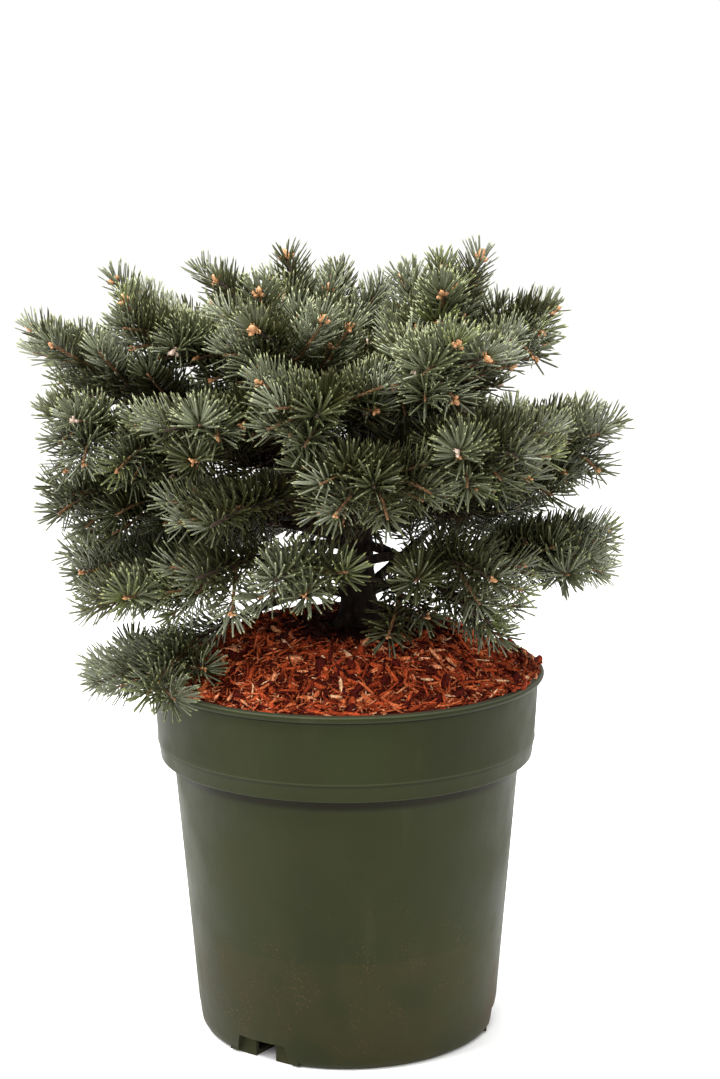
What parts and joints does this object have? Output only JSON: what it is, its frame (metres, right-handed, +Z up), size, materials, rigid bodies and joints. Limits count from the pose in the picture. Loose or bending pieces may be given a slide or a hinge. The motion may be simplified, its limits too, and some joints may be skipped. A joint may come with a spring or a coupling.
{
  "type": "potted green globe subalpine fir",
  "caption": "Dwarf globe-shaped subalpine fir standing in a dark green plastic nursery pot topped with shredded bark mulch.",
  "frame": {"origin": "centre of the pot's flat underside", "axes": "+Z up; +X to the right of the picture, which looks along +Y"},
  "size_m": [0.426, 0.3754, 0.5624],
  "materials": {
    "pot_plastic": "dark olive green blown plastic, satin, dusty and scuffed towards the foot",
    "growing_mix": "dark moist growing mix of composted bark",
    "bark_mulch": "shredded red-brown bark, fibrous, with paler orange chips and dark gaps",
    "trunk_bark": "dark grey-brown rough bark, browner on the young shoots",
    "fir_needles": "blue-green flat needles, matt with a waxy bloom, yellower at the tips"
  },
  "bodies": {
    "root": {"pot": "pot_plastic", "growing_mix": "growing_mix", "bark_mulch": "bark_mulch", "trunk": "trunk_bark", "bough_low_back": "trunk_bark", "bough_low_back_left": "trunk_bark", "bough_low_back_right": "trunk_bark", "bough_low_front": "trunk_bark", "bough_low_front_left": "trunk_bark", "bough_low_front_right": "trunk_bark", "bough_low_left": "trunk_bark", "bough_low_left_front": "trunk_bark", "bough_low_right": "trunk_bark", "bough_low_right_front": "trunk_bark", "bough_middle_back": "trunk_bark", "bough_middle_back_left": "trunk_bark", "bough_middle_back_right": "trunk_bark", "bough_middle_front": "trunk_bark", "bough_middle_front_left": "trunk_bark", "bough_middle_front_right": "trunk_bark", "bough_middle_left": "trunk_bark", "bough_middle_left_high": "trunk_bark", "bough_middle_right": "trunk_bark", "bough_over_rim": "trunk_bark", "bough_upper_left": "trunk_bark", "bough_upper_left_front": "trunk_bark", "foliage_low_back": "fir_needles", "foliage_low_back_left": "fir_needles", "foliage_low_back_right": "fir_needles", "foliage_low_front": "fir_needles", "foliage_low_front_left": "fir_needles", "foliage_low_front_right": "fir_needles", "foliage_low_left": "fir_needles", "foliage_low_left_front": "fir_needles", "foliage_low_right": "fir_needles", "foliage_low_right_front": "fir_needles", "foliage_low_shoot": "fir_needles", "foliage_middle_back": "fir_needles", "foliage_middle_back_left": "fir_needles", "foliage_middle_back_right": "fir_needles", "foliage_middle_front": "fir_needles", "foliage_middle_front_left": "fir_needles", "foliage_middle_front_right": "fir_needles", "foliage_middle_left": "fir_needles", "foliage_middle_left_high": "fir_needles", "foliage_middle_right": "fir_needles", "foliage_over_rim": "fir_needles", "foliage_top_left": "fir_needles", "foliage_top_left_outer": "fir_needles", "foliage_top_middle": "fir_needles", "foliage_top_right": "fir_needles", "foliage_upper_back": "fir_needles", "foliage_upper_back_left": "fir_needles", "foliage_upper_back_right": "fir_needles", "foliage_upper_front": "fir_needles", "foliage_upper_front_left": "fir_needles", "foliage_upper_front_right": "fir_needles", "foliage_upper_left": "fir_needles", "foliage_upper_left_front": "fir_needles", "foliage_upper_right": "fir_needles"}
  },
  "joints": []
}
